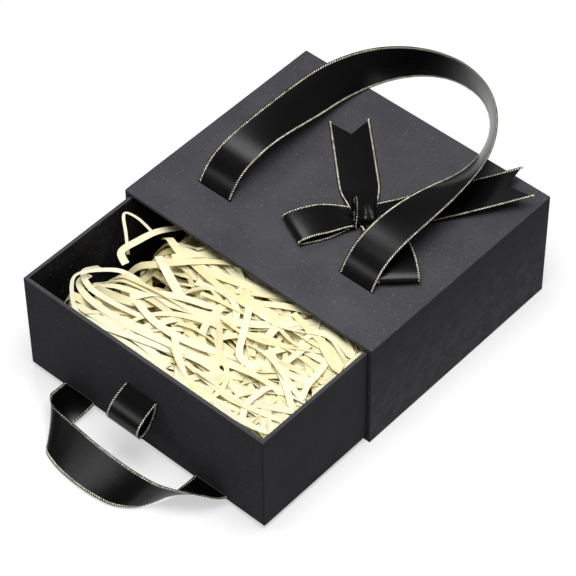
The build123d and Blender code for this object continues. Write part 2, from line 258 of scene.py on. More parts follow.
def fold_scuff_and_highlight_group() -> Tree:
    """Build the paler look of folded edges, partly scuffing and partly painted highlight, from a value
    written on the mesh.

    Returns:
        The group, which gives Mask.
    """
    graph, given = shader_group("Fold scuff and highlight", {"Amount": 0.6, "Breakup": 120.0}, ("Mask",))
    patches = graph.steps(graph.noise(given["Vector"], given["Breakup"], 5.0, 0.7), 0.36, 0.66)
    broken = graph.math("MULTIPLY_ADD", patches, 0.6, 0.4)
    # The folds are paled partly by scuffing and partly by a painted highlight.
    scuffed_and_lit = graph.math("MULTIPLY", graph.attribute("fold_scuff_and_highlight"), broken)
    return graph.give({"Mask": graph.math("MULTIPLY", scuffed_and_lit, given["Amount"])})


def dust_group() -> Tree:
    """Build a thin uneven bloom of handling and dust.

    Returns:
        The group, which gives Mask.
    """
    graph, given = shader_group("Dust", {"Amount": 0.2, "Scale": 14.0}, ("Mask",))
    bloom = graph.steps(graph.noise(given["Vector"], given["Scale"], 6.0, 0.62, 0.4), 0.38, 0.72)
    return graph.give({"Mask": graph.math("MULTIPLY", bloom, given["Amount"])})


def satin_weave_group() -> Tree:
    """Build satin: long floats along the ribbon, fine ribs across it and slow streaks.

    Returns:
        The group, which gives Tone and Height.
    """
    graph, given = shader_group("Satin weave", {"Floats": 90.0, "Ribs": 30.0}, ("Tone", "Height"))
    split = graph.node("ShaderNodeSeparateXYZ", {"Vector": given["Vector"]})
    across = graph.math("MULTIPLY", split.outputs["X"], given["Floats"])
    along = graph.math("MULTIPLY", split.outputs["Y"], given["Ribs"])
    stretched = graph.node("ShaderNodeCombineXYZ", {"X": across, "Y": graph.math("MULTIPLY", along, 0.06)})
    streaks = graph.noise(stretched.outputs[0], 1.0, 3.0, 0.55)
    floats = graph.math("MULTIPLY_ADD", graph.wave(across), 0.3, streaks)
    height = graph.math("MULTIPLY_ADD", graph.wave(along), 0.35, floats)
    return graph.give({"Tone": streaks, "Height": height})


@dataclass(frozen=True)
class Effects:
    """The node groups that the finishes share."""

    fibre: Tree
    scuffing_and_highlight: Tree
    dust: Tree
    satin: Tree


EFFECTS = Effects(paper_fibre_group(), fold_scuff_and_highlight_group(), dust_group(), satin_weave_group())


# ---------------------------------------------------------------- finishes


def new_material(name: str) -> tuple[bpy.types.Material, Graph, bpy.types.bpy_prop_collection]:
    """Start a node material.

    Args:
        name: Its name.

    Returns:
        The material, its empty graph and the outputs of a Texture Coordinate node in it.
    """
    material = bpy.data.materials.new(name)
    material.use_nodes = True
    graph = Graph(material.node_tree)
    return material, graph, graph.node("ShaderNodeTexCoord").outputs


@dataclass(frozen=True)
class PaperFinish:
    """Dyed art paper with pale fibres, a little dust and paler folds that are partly scuffing and partly
    painted highlight.
    """

    name: str
    colour: Colour
    shade: Colour
    speck: Colour = (0.24, 0.23, 0.18)
    # Paler colour for dust, for scuffed folds and for the painted highlight on folds.
    scuffed_and_lit: Colour = (0.19, 0.19, 0.21)
    roughness: float = 0.68
    spread: float = 0.22
    specular: float = 0.03
    grain: float = 1500.0
    specks: float = 950.0
    share: float = 0.06
    scuffing_and_highlight: float = 0.75
    dust: float = 0.05
    bump: tuple[float, float] = (0.35, 0.00012)

    def material(self) -> bpy.types.Material:
        """Build the finish's material."""
        material, graph, places = new_material(self.name)
        place = places["Object"]
        weave = {"Vector": place, "Grain": self.grain, "Specks": self.specks, "Share": self.share}
        fibre = graph.group(EFFECTS.fibre, weave)
        scuffing_and_highlight = graph.group(EFFECTS.scuffing_and_highlight, {"Vector": place, "Amount": self.scuffing_and_highlight})
        dust = graph.group(EFFECTS.dust, {"Vector": place, "Amount": self.dust})
        ground = graph.mix(graph.steps(fibre["Tone"], 0.36, 0.64), self.shade, self.colour)
        dusty = graph.mix(dust["Mask"], ground, self.scuffed_and_lit)
        # Painted highlight with scuffing: the folds are mixed towards the paler colour.
        rubbed_and_highlit = graph.mix(scuffing_and_highlight["Mask"], dusty, self.scuffed_and_lit)
        colour = graph.mix(fibre["Specks"], rubbed_and_highlit, self.speck)
        rough = graph.math("MULTIPLY_ADD", fibre["Tone"], self.spread, self.roughness - self.spread / 2)
        graph.surface(colour, rough, fibre["Height"], self.bump, {"Specular IOR Level": self.specular})
        return material


@dataclass(frozen=True)
class SatinFinish:
    """Black satin with streaks of painted sheen along the ribbon and a faint weave."""

    name: str = "black_satin"
    colour: Colour = (0.0010, 0.0010, 0.0013)
    # The lighter colour of the painted sheen streaks, which the dust patches also take.
    lit: Colour = (0.0026, 0.0026, 0.0031)
    roughness: float = 0.27
    spread: float = 0.06
    specular: float = 0.28
    bump: tuple[float, float] = (0.05, 0.00006)

    def material(self) -> bpy.types.Material:
        """Build the finish's material."""
        material, graph, places = new_material(self.name)
        satin = graph.group(EFFECTS.satin, {"Vector": places["UV"]})
        dust = graph.group(EFFECTS.dust, {"Vector": places["Object"], "Amount": 0.3, "Scale": 40.0})
        # Painted sheen: the streaks mix the black towards the lighter colour, and dust patches are mixed
        # towards it too.
        tone = graph.mix(graph.steps(satin["Tone"], 0.15, 0.85), self.colour, self.lit)
        colour = graph.mix(dust["Mask"], tone, self.lit)
        rough = graph.math("MULTIPLY_ADD", satin["Tone"], self.spread, self.roughness - self.spread / 2)
        graph.surface(colour, rough, satin["Height"], self.bump, {"Specular IOR Level": self.specular})
        return material


@dataclass(frozen=True)
class ThreadFinish:
    """Metallic thread twisted from a gold and a silver yarn."""

    name: str = "gold_and_silver_thread"
    gold: Colour = (0.95, 0.84, 0.47)
    silver: Colour = (0.97, 0.96, 0.90)
    tarnish: Colour = (0.16, 0.14, 0.07)
    metallic: float = 0.45
    roughness: float = 0.33
    spread: float = 0.3
    bump: tuple[float, float] = (0.4, 0.0001)

    def material(self) -> bpy.types.Material:
        """Build the finish's material."""
        material, graph, places = new_material(self.name)
        noise = graph.noise(places["Object"], 900.0, 2.0)
        dust = graph.group(EFFECTS.dust, {"Vector": places["Object"], "Amount": 0.85, "Scale": 260.0})
        metal = graph.mix(graph.attribute("tone"), self.gold, self.silver)
        colour = graph.mix(dust["Mask"], metal, self.tarnish)
        rough = graph.math("MULTIPLY_ADD", noise, self.spread, self.roughness - self.spread / 2)
        graph.surface(colour, rough, noise, self.bump, {"Metallic": self.metallic})
        return material


@dataclass(frozen=True)
class ShredFinish:
    """Ivory tissue strips: pale on top, with painted shade that turns them olive where they lie deep."""

    name: str = "ivory_shred"
    pale: Colour = (0.96, 0.92, 0.68)
    cream: Colour = (0.91, 0.82, 0.45)
    # The olive of painted shade on strips that lie deep in the heap.
    deep: Colour = (0.60, 0.47, 0.12)
    roughness: float = 0.5
    spread: float = 0.2
    specular: float = 0.4
    bump: tuple[float, float] = (0.3, 0.0001)

    def material(self) -> bpy.types.Material:
        """Build the finish's material."""
        material, graph, places = new_material(self.name)
        weave = {"Vector": places["Object"], "Grain": 700.0, "Specks": 500.0, "Share": 0.02}
        fibre = graph.group(EFFECTS.fibre, weave)
        strip = graph.mix(graph.attribute("tone"), self.cream, self.pale)
        # Painted shade: strips deep in the heap are mixed towards olive.
        colour = graph.mix(graph.attribute("depth"), strip, self.deep)
        rough = graph.math("MULTIPLY_ADD", fibre["Tone"], self.spread, self.roughness - self.spread / 2)
        graph.surface(colour, rough, fibre["Height"], self.bump, {"Specular IOR Level": self.specular})
        return material


# ---------------------------------------------------------------- shop tools


def clear_selection() -> None:
    """Leave edit mode and deselect everything."""
    if bpy.context.object is not None and bpy.context.object.mode != "OBJECT":
        bpy.ops.object.mode_set(mode="OBJECT")
    bpy.ops.object.select_all(action="DESELECT")


def choose(piece: Piece) -> None:
    """Make the piece the only selected one and the active one."""
    clear_selection()
    piece.select_set(True)
    bpy.context.view_layer.objects.active = piece


def block(name: str, low: Vector, high: Vector) -> Piece:
    """Add a cube primitive with its place in its mesh.

    Args:
        name: The piece's name.
        low: Its low corner, in metres.
        high: Its high corner, in metres.

    Returns:
        The new piece.
    """
    clear_selection()
    bpy.ops.mesh.primitive_cube_add(size=1.0, location=(low + high) / 2, scale=high - low)
    bpy.ops.object.transform_apply(location=True, rotation=True, scale=True)
    piece = bpy.context.object
    piece.name = piece.data.name = name
    return piece


def open_mesh(piece: Piece, kind: str) -> bmesh.types.BMesh:
    """Go to edit mode with nothing selected.

    Args:
        piece: The piece to edit.
        kind: What is picked there, FACE or EDGE.

    Returns:
        The piece's mesh.
    """
    choose(piece)
    bpy.ops.object.mode_set(mode="EDIT")
    bpy.ops.mesh.select_mode(type=kind)
    bpy.ops.mesh.select_all(action="DESELECT")
    return bmesh.from_edit_mesh(piece.data)


def pick_faces(piece: Piece, test: Callable[[Vector, Vector], bool]) -> None:
    """Go to edit mode with the faces selected for which test(centre, normal) holds."""
    mesh = open_mesh(piece, "FACE")
    for face in mesh.faces:
        face.select_set(test(face.calc_center_median(), face.normal))
    mesh.select_flush_mode()
    bmesh.update_edit_mesh(piece.data)


def pick_edges(piece: Piece, test: Callable[[Vector, Vector], bool]) -> None:
    """Go to edit mode with the edges selected for which test(end, end) holds."""
    mesh = open_mesh(piece, "EDGE")
    for edge in mesh.edges:
        edge.select_set(test(edge.verts[0].co, edge.verts[1].co))
    mesh.select_flush_mode()
    bmesh.update_edit_mesh(piece.data)


def apply_modifier(piece: Piece, kind: str, **settings: object) -> None:
    """Add a modifier and apply it.

    Args:
        piece: The piece to change.
        kind: The modifier's type.
        settings: Its properties.
    """
    choose(piece)
    modifier = piece.modifiers.new(kind.title(), kind)
    for name, value in settings.items():
        setattr(modifier, name, value)
    bpy.ops.object.modifier_apply(modifier=modifier.name)


def cut(piece: Piece, low: Vector, high: Vector) -> None:
    """Cut a box out of a piece.

    Args:
        piece: The piece to cut.
        low: The box's low corner, in metres.
        high: Its high corner, in metres.
    """
    cutter = block("cutter", low, high)
    apply_modifier(piece, "BOOLEAN", operation="DIFFERENCE", solver="EXACT", object=cutter)
    bpy.data.objects.remove(cutter)


def smooth(piece: Piece, angle: float = 35.0, weighted: bool = False) -> None:
    """Shade a piece smooth.

    Args:
        piece: The piece to shade.
        angle: The greatest angle between faces that is smoothed, in degrees.
        weighted: Whether large flat faces keep a flat shade.
    """
    choose(piece)
    bpy.ops.object.shade_smooth_by_angle(angle=radians(angle))
    if weighted:
        apply_modifier(piece, "WEIGHTED_NORMAL", keep_sharp=True, weight=100)


def point_values(piece: Piece, name: str, values: Iterable[float]) -> None:
    """Write a named value to each vertex."""
    attribute = piece.data.attributes.new(name, "FLOAT", "POINT")
    attribute.data.foreach_set("value", np.fromiter(values, np.float32, len(piece.data.vertices)))


def mesh_piece(name: str, points: list, faces: list, **values: Iterable[float]) -> Piece:
    """Make a piece of many small parts.

    Args:
        name: Its name.
        points: Its vertices, in metres.
        faces: Its faces, as indices of points.
        values: Values for each vertex by name.

    Returns:
        The new piece.
    """
    mesh = bpy.data.meshes.new(name)
    mesh.from_pydata(points, [], faces)
    mesh.update()
    piece = bpy.data.objects.new(name, mesh)
    bpy.context.scene.collection.objects.link(piece)
    for label, numbers in values.items():
        point_values(piece, label, numbers)
    return piece


def finish(piece: Piece, material: bpy.types.Material, body: Body, slot: Slot, *nodes: str) -> None:
    """Dress a piece and place it on its body.

    Args:
        piece: The finished piece.
        material: Its finish.
        body: The body that it rides on.
        slot: The record's material slot for the piece; not used.
        nodes: The CAD nodes that it stands for.
    """
    piece.data.materials.clear()
    piece.data.materials.append(material)
    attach(piece, body.value)
    if nodes:
        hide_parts(*nodes)
    log.info("%s: %d faces on %s", piece.name, len(piece.data.polygons), body.value)


def dress_nodes(material: bpy.types.Material, *names: str) -> None:
    """Give CAD nodes their finish."""
    for name in names:
        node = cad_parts[name]
        node.data.materials.clear()
        node.data.materials.append(material)
        log.info("%s: CAD node dressed with %s", name, material.name)


def smooth_line(points: Iterable[Iterable[float]], steps: int) -> list[Vector]:
    """Run a smooth line through points.

    Args:
        points: The points that it passes.
        steps: Places on it for each point.

    Returns:
        The places along the line, from the first point to the last.
    """
    knots = [Vector(point) for point in points]
    knots = [knots[0], *knots, knots[-1]]
    places = []
    for before, start, end, after in zip(knots, knots[1:], knots[2:], knots[3:]):
        for index in range(steps):
            t = index / steps
            square = (before * 2 - start * 5 + end * 4 - after) * t**2
            cube = (start * 3 - before - end * 3 + after) * t**3
            line = start * 2 + (end - before) * t
            places.append((line + (square + cube)) / 2)
    return [*places, knots[-1]]


def ease(value: float, start: float, end: float) -> float:
    """Go smoothly from 0 at start to 1 at end."""
    share = min(max((value - start) / (end - start), 0.0), 1.0)
    return share * share * (3 - 2 * share)


# ---------------------------------------------------------------- covered boxes


@dataclass
class CoveredBox:
    """A box face wrapped in paper, open on one side, with its rim folded over the board's edge."""

    name: str
    low: Vector
    high: Vector
    open_axis: int
    open_side: int
    bare_axis: int | None = None
    shell: float = 2.5
    paper: float = 0.3
    round: float = 0.7
    lip_round: float = 0.25
    scuffed_and_lit_share: float = 0.55

    def build(self) -> Piece:
        """Make the wrap as a thin shell with rounded folds.

        Returns:
            The piece.
        """
        low, high = self.low * MM, self.high * MM
        piece = block(self.name, low, high)
        axis, side = self.open_axis, self.open_side
        if self.bare_axis is not None:
            pick_faces(piece, lambda centre, normal: normal[self.bare_axis] < -0.9)
            bpy.ops.mesh.delete(type="FACE")
        pick_faces(piece, lambda centre, normal: normal[axis] * side > 0.9)
        bpy.ops.mesh.inset(thickness=self.shell * MM, depth=0.0, use_boundary=True)
        inwards = Vector((0.0, 0.0, 0.0))
        inwards[axis] = -side * 2 * self.paper * MM
        bpy.ops.mesh.extrude_region_move(TRANSFORM_OT_translate={"value": inwards})
        bpy.ops.mesh.delete(type="FACE")
        bpy.ops.object.mode_set(mode="OBJECT")
        self._round(piece, lambda a, b: all(map(self._on_fold, (a, b, (a + b) / 2))), self.round, 3)
        mouth = (high if side > 0 else low)[axis]
        self._round(piece, lambda a, b: self._on_lip(a, mouth) and self._on_lip(b, mouth), self.lip_round, 2)
        apply_modifier(piece, "SOLIDIFY", thickness=self.paper * MM, offset=-1.0)
        return piece

    def scuffing_and_highlight(self, piece: Piece) -> None:
        """Write how near each vertex is to the middle of a rounded fold, where the paper is paled by scuffing
        and a painted highlight.
        """
        reach = self.scuffed_and_lit_share * self.round * MM
        gaps = (sorted(self._gaps(vertex.co)) for vertex in piece.data.vertices)
        point_values(piece, "fold_scuff_and_highlight", (1.0 - min(gap[1] / reach, 1.0) for gap in gaps))

    def _gaps(self, place: Vector) -> list[float]:
        """List a place's distance from the nearer side on each axis."""
        return [min(abs(place[i] - self.low[i] * MM), abs(place[i] - self.high[i] * MM)) for i in range(3)]

    def _on_fold(self, place: Vector) -> bool:
        """Tell whether a place lies on two outer sides."""
        return sum(gap < TOUCH for gap in self._gaps(place)) >= 2

    def _on_lip(self, place: Vector, mouth: float) -> bool:
        """Tell whether a place lies on the mouth's inner edge, with the mouth's place in metres."""
        inset = min(gap for i, gap in enumerate(self._gaps(place)) if i != self.open_axis)
        return abs(place[self.open_axis] - mouth) < TOUCH and abs(inset - self.shell * MM) < 10 * TOUCH

    def _round(
        self, piece: Piece, test: Callable[[Vector, Vector], bool], size: float, segments: int
    ) -> None:
        """Bevel some edges.

        Args:
            piece: The piece to bevel.
            test: Picks an edge by its two ends.
            size: The bevel's width.
            segments: Its number of faces across.
        """
        pick_edges(piece, test)
        bpy.ops.mesh.bevel(offset=size * MM, segments=segments, profile=0.5, affect="EDGES")
        bpy.ops.object.mode_set(mode="OBJECT")


@dataclass
class Sleeve:
    """The rigid outer sleeve, its lining and the flat sheet under it."""

    cover: bpy.types.Material
    lining: bpy.types.Material
    board: bpy.types.Material
    width: float = 190.0
    depth: float = 160.0
    height: float = 79.0
    wrap: float = 0.3
    slot_pitch: float = 109.0
    slot_y: float = -46.2
    slot: Vector = fixed(27.0, 1.2, 8.0)

    def build(self) -> None:
        """Make the cover and dress the CAD nodes."""
        low = Vector((-self.width / 2, -self.depth / 2, self.wrap))
        high = Vector((self.width / 2, self.depth / 2, self.height))
        form = CoveredBox("sleeve_cover", low, high, open_axis=1, open_side=-1, bare_axis=2)
        piece = form.build()
        for side in (-1, 1):
            middle = Vector((side * self.slot_pitch / 2, self.slot_y, self.height))
            cut(piece, (middle - self.slot / 2) * MM, (middle + self.slot / 2) * MM)
        form.scuffing_and_highlight(piece)
        smooth(piece, weighted=True)
        finish(piece, self.cover, Body.SLEEVE, Slot.WRAP, "sleeve_wrap_paper")
        dress_nodes(self.cover, "sleeve_base_paper")
        dress_nodes(self.lining, "sleeve_lining")
        boards = ("top", "bottom", "left", "right", "back")
        dress_nodes(self.board, *(f"sleeve_{board}_board" for board in boards))


@dataclass
class Drawer:
    """The tray with its folded rim, its corner joint and its lining."""

    cover: bpy.types.Material
    lining: bpy.types.Material
    board: bpy.types.Material
    low: Vector = fixed(-92.0, -166.4, 2.8)
    high: Vector = fixed(92.0, -9.4, 75.4)
    handle_pitch: float = 104.0
    handle_slot: Vector = fixed(27.0, 8.0, 1.2)
    handle_z: float = 5.6
    tab_slot: Vector = fixed(27.0, 8.0, 1.8)
    tab_z: float = 46.3
    seam: Vector = fixed(0.4, 0.26, 0.9)
    seam_inset: float = 0.62

    def build(self) -> None:
        """Make the cover and dress the CAD nodes."""
        form = CoveredBox("drawer_cover", self.low, self.high, open_axis=2, open_side=1)
        piece = form.build()
        front, clear = self.low.y, 1.0
        slots = [(side * self.handle_pitch / 2, self.handle_z, self.handle_slot) for side in (-1, 1)]
        for x, z, size in [*slots, (0.0, self.tab_z, self.tab_slot)]:
            middle = Vector((x, front, z))
            cut(piece, (middle - size / 2) * MM, (middle + size / 2) * MM)
        for side in (-1, 1):
            edge = side * (self.high.x - self.seam_inset)
            corner = Vector((edge - self.seam.x / 2, front - clear, self.low.z + self.seam.z))
            top = Vector((edge + self.seam.x / 2, front + self.seam.y, self.high.z + clear))
            cut(piece, corner * MM, top * MM)
        form.scuffing_and_highlight(piece)
        smooth(piece, weighted=True)
        finish(piece, self.cover, Body.DRAWER, Slot.WRAP, "drawer_wrap_paper")
        dress_nodes(self.lining, "drawer_lining")
        boards = ("base", "front", "back", "left", "right")
        dress_nodes(self.board, *(f"drawer_{board}_board" for board in boards))


# ---------------------------------------------------------------- ribbons


@dataclass
class Station:
    """One place on a ribbon's way, in metres: its middle, its direction and its width direction."""

    place: Vector
    along: Vector
    across: Vector
    width: float

    @property
    def out(self) -> Vector:
        """The direction off the ribbon's face."""
        return self.along.cross(self.across).normalized()


@dataclass
class Ribbon:
    """A satin ribbon with a twisted metal thread along its edges, on a way of stations."""

    name: str
    way: list[Station]
    body: Body
    node: str
    held: str
    rests_on: list[str]
    satin: bpy.types.Material
    thread: bpy.types.Material
    relief: Callable[[float, float], float] = lambda across, run: 0.0
    notch: float = 0.0
    thickness: float = 0.34
    columns: int = 16
    row: float = 1.6
    least_rows: int = 12
    stitch: float = 1.55
    stitch_size: Vector = fixed(0.95, 0.54, 0.48)
    slant: float = 38.0
    inset: float = 0.95
    tones: tuple[float, float, float] = (0.15, 0.55, 0.95)
    cut_width: float = STOCK
    threads: tuple[int, ...] = (-1, 1)

    def __post_init__(self) -> None:
        """Measure the run to every station."""
        steps = [(b.place - a.place).length for a, b in zip(self.way, self.way[1:])]
        self.runs = np.concatenate([[0.0], np.cumsum(steps)])
        self.length = float(self.runs[-1])
        self.table = np.array([[*s.place, *s.along, *s.across, *s.out, s.width] for s in self.way])

    def at(self, run: float) -> np.ndarray:
        """Return the row of place, along, across, out and width at a run in metres."""
        return np.array([np.interp(run, self.runs, column) for column in self.table.T])

    def spot(self, across: float, run: float) -> Vector:
        """Find a place on the ribbon's middle surface.

        Args:
            across: -1 at one edge and 1 at the other.
            run: How far along the ribbon, in metres.

        Returns:
            The place, in metres.
        """
        row = self.at(run)
        lift = self.relief(across, run / MM) * MM
        return Vector(row[0:3] + row[6:9] * (across * row[12] / 2) + row[9:12] * lift)

    def build(self) -> None:
        clear_selection()
        rows = max(int(self.length / (self.row * MM)), self.least_rows)
        bpy.ops.mesh.primitive_grid_add(x_subdivisions=self.columns, y_subdivisions=rows, size=2.0)
        band = bpy.context.object
        band.name = band.data.name = self.name
        uv = band.data.uv_layers.active.data
        places = [(v.co.x, (v.co.y + 1) / 2) for v in band.data.vertices]
        runs = [share * (self.length - self.notch * MM * (1 - abs(across))) for across, share in places]
        for loop in band.data.loops:
            across, run = places[loop.vertex_index][0], runs[loop.vertex_index]
            uv[loop.index].uv = ((across + 1) / 2, run / (STOCK * MM))
        for vertex, (across, _), run in zip(band.data.vertices, places, runs):
            vertex.co = self.spot(across, run)
        apply_modifier(band, "SOLIDIFY", thickness=self.thickness * MM, offset=0.0)
        smooth(band, 60.0)
        finish(band, self.satin, self.body, Slot.RIBBON, self.node)
        thread = self._threads()
        finish(thread, self.thread, self.body, Slot.RIBBON)

    def _threads(self) -> Piece:
        """Copy one shaped stitch along the edges.

        Returns:
            One piece that holds all the stitches, with their tone values written.
        """
        clear_selection()
        lying = (0.0, pi / 2, 0.0)
        bpy.ops.mesh.primitive_uv_sphere_add(segments=6, ring_count=5, radius=1.0, rotation=lying)
        bpy.ops.object.transform_apply(location=True, rotation=True, scale=True)
        model = bpy.context.object
        shape = np.array([v.co for v in model.data.vertices]) * np.array(self.stitch_size) * MM
        rings = [tuple(p.vertices) for p in model.data.polygons]
        starts = [ring.index(min(ring)) for ring in rings]
        # The primitive's faces come in another order each run, so they are put in one order here.
        faces = sorted(ring[start:] + ring[:start] for ring, start in zip(rings, starts))
        bpy.data.objects.remove(model)
        points, cells, tones, first = [], [], [], 0
        count = int(self.length / (self.stitch * MM))
        for side in self.threads:
            lean = radians(self.slant) * side
            for index in range(count + 1):
                run = min((index + 0.5) * self.stitch * MM, self.length)
                row = self.at(run)
                along, across, out = row[3:6], row[6:9], row[9:12]
                axis = along * cos(lean) + across * sin(lean)
                edge = side * (1 - 2 * self.inset * MM / row[12])
                middle = np.array(self.spot(edge, run))
                points.append(middle + shape @ np.array([axis, np.cross(out, axis), out]))
                cells += [tuple(first + i for i in cell) for cell in faces]
                first += len(shape)
                tones += [self.tones[(index * 7 + side) % 3]] * len(shape)
        thread = mesh_piece(f"{self.name}_thread", np.concatenate(points).tolist(), cells, tone=tones)
        smooth(thread, 80.0)
        return thread


@dataclass
class CarryLoop:
    """The way of the carrying ribbon on the sleeve's two slots: two legs and half an ellipse."""

    root: Vector = fixed(0.0, -46.2, 79.5)
    pitch: float = 109.0
    leg: float = 91.0
    depth: float = 71.0
    rise: float = 18.5
    rise_run: float = 10.5
    sag: float = 6.2
    twist: float = 102.0
    steps: int = 170

    def way(self) -> list[Station]:
        """List the stations from the left root to the right one."""
        half = self.pitch / 2
        quarter = pi / 4 * sqrt(2 * (half**2 + self.depth**2))
        middle = self.leg + quarter

        def line(run: float) -> Vector:
            """Find the ribbon's middle over its root at a run."""
            side = -1 if run < middle else 1
            near = min(run, 2 * middle - run)
            past = max(near - self.leg, 0.0) / quarter * pi / 2
            forth = min(near, self.leg) + self.depth * sin(past)
            return Vector((side * half * cos(past), forth, self._lift(near)))

        def station(run: float) -> Station:
            """Find the station at a run."""
            along = (line(min(run + 0.1, 2 * middle)) - line(max(run - 0.1, 0.0))).normalized()
            inward = Vector((along.y, -along.x, 0.0)).normalized()
            tilt = radians(self._turn(min(run, 2 * middle - run)))
            across = inward * cos(tilt) - UP * sin(tilt)
            across = (across - along * across.dot(along)).normalized()
            return Station((self.root + line(run)) * MM, along, across, STOCK * MM)

        return [station(2 * middle * index / self.steps) for index in range(self.steps + 1)]

    def _lift(self, run: float) -> float:
        """Return the ribbon's height over its root."""
        return self.rise * (1 - exp(-run / self.rise_run)) - self.sag * ease(run, 30, 120)

    def _turn(self, run: float) -> float:
        """Return the turn of the ribbon's width, in degrees."""
        return self.twist * ease(run, 30, 185)


def banded_way(rungs: tuple[Rung, ...], steps: int = 12) -> list[Station]:
    """Span a ribbon from rung to rung.

    Args:
        rungs: Its width at places along it, each from the outer edge to the inner one.
        steps: Stations for each rung.

    Returns:
        The ribbon's stations.
    """
    outer, inner = (smooth_line((rung[side] for rung in rungs), steps) for side in (0, 1))
    middles = [(a + b) / 2 for a, b in zip(outer, inner)]
    way = []
    for index, (a, b) in enumerate(zip(outer, inner)):
        along = (middles[min(index + 1, len(middles) - 1)] - middles[max(index - 1, 0)]).normalized()
        way.append(Station(middles[index] * MM, along, (b - a).normalized(), (b - a).length * MM))
    return way


def teardrop(length: float, gape: float, steps: int = 90) -> list[tuple[Vector, Vector]]:
    """Go round a folded loop whose two ends meet.

    Args:
        length: Its length from the ends to the fold, along x.
        gape: Its greatest height, along y.
        steps: Its number of steps.

    Returns:
        A place and a direction for each step.
    """
    widest = 0.77  # of sin(turn) * cos(turn / 2)
    half, swell, last = length / 2, gape / 2 / widest, radians(166)

    def spot(turn: float) -> Vector:
        """Find the place at a turn, which is 0 at the fold."""
        return Vector((half + half * cos(turn), swell * sin(turn) * cos(turn / 2)))

    turns = [last - 2 * last * index / steps for index in range(steps + 1)]
    return [(spot(turn), (spot(turn - 0.01) - spot(turn + 0.01)).normalized()) for turn in turns]


@dataclass
class Handles:
    """The carrying ribbon on the sleeve and the ribbon on the drawer's front."""

    satin: bpy.types.Material
    thread: bpy.types.Material
    carry: CarryLoop = field(default_factory=CarryLoop)
    front_rungs: tuple[Rung, ...] = (
        ((-64.5, -166.9, 5.6), (-39.5, -166.9, 5.6)),
        ((-63.0, -175.5, 8.0), (-39.8, -176.0, 4.0)),
        ((-59.5, -183.0, 12.5), (-40.8, -189.5, 2.0)),
        ((-50.0, -189.3, 16.0), (-40.5, -206.0, 1.2)),
        ((-31.3, -191.7, 17.0), (-28.5, -212.0, 1.2)),
        ((-12.0, -193.5, 17.3), (-12.0, -214.0, 1.2)),
        ((3.3, -194.1, 17.6), (4.0, -213.6, 1.2)),
        ((18.0, -194.3, 18.2), (17.5, -210.8, 1.2)),
        ((34.5, -193.6, 19.8), (27.5, -203.8, 1.4)),
        ((45.0, -190.6, 20.2), (33.5, -194.0, 1.8)),
        ((57.0, -181.2, 15.5), (37.5, -183.0, 3.2)),
        ((62.5, -173.0, 9.0), (39.2, -174.0, 4.8)),
        ((64.5, -166.9, 5.6), (39.5, -166.9, 5.6)),
    )

    def build(self) -> None:
        """Make both loops and dress their hidden ends."""
        self._loop("top_ribbon", self.carry.way(), Body.TOP_HANDLE, "handle")
        self._loop("front_ribbon", banded_way(self.front_rungs), Body.FRONT_HANDLE, "front_handle")

    def _loop(self, name: str, way: list[Station], body: Body, handle: str) -> None:
        """Make one loop.

        Args:
            name: The piece's name.
            way: Its stations.
            body: The body that it rides on.
            handle: What the names of its CAD nodes start with.
        """
        anchors = [f"{handle}_anchor_{side}" for side in ("left", "right")]
        Ribbon(name, way, body, f"{handle}_ribbon", "hung", anchors, self.satin, self.thread).build()
        dress_nodes(self.satin, *anchors)


@dataclass
class PullTab:
    """The short hanging loop in the drawer's front."""

    satin: bpy.types.Material
    thread: bpy.types.Material
    root: Vector = fixed(0.0, -166.9, 46.3)
    length: float = 22.5
    gape: float = 9.5
    hang: float = 47.0

    def build(self) -> None:
        """Make the loop and dress its hidden end."""
        lean = radians(self.hang)
        out, up = Vector((0, -cos(lean), -sin(lean))), Vector((0, -sin(lean), cos(lean)))
        across, width = Vector((1, 0, 0)), STOCK * MM
        way = [
            Station((self.root + out * spot.x + up * spot.y) * MM, out * turn.x + up * turn.y, across, width)
            for spot, turn in teardrop(self.length, self.gape)
        ]
        anchor = "pull_tab_anchor"
        finishes = (self.satin, self.thread)
        Ribbon("tab_ribbon", way, Body.PULL_TAB, "pull_tab_ribbon", "folded", [anchor], *finishes).build()
        dress_nodes(self.satin, anchor)


@dataclass(frozen=True)
class LoopShape:
    """How a bow loop lies: its length and angle from the knot, and its bend aside."""

    length: float
    angle: float
    gathered: float
    bend: float
    height: float


@dataclass(frozen=True)
class TailShape:
    """How a bow tail lies: its length and angle from the knot, and the lift of its tip."""

    length: float
    angle: float
    gathered: float
    lift: float


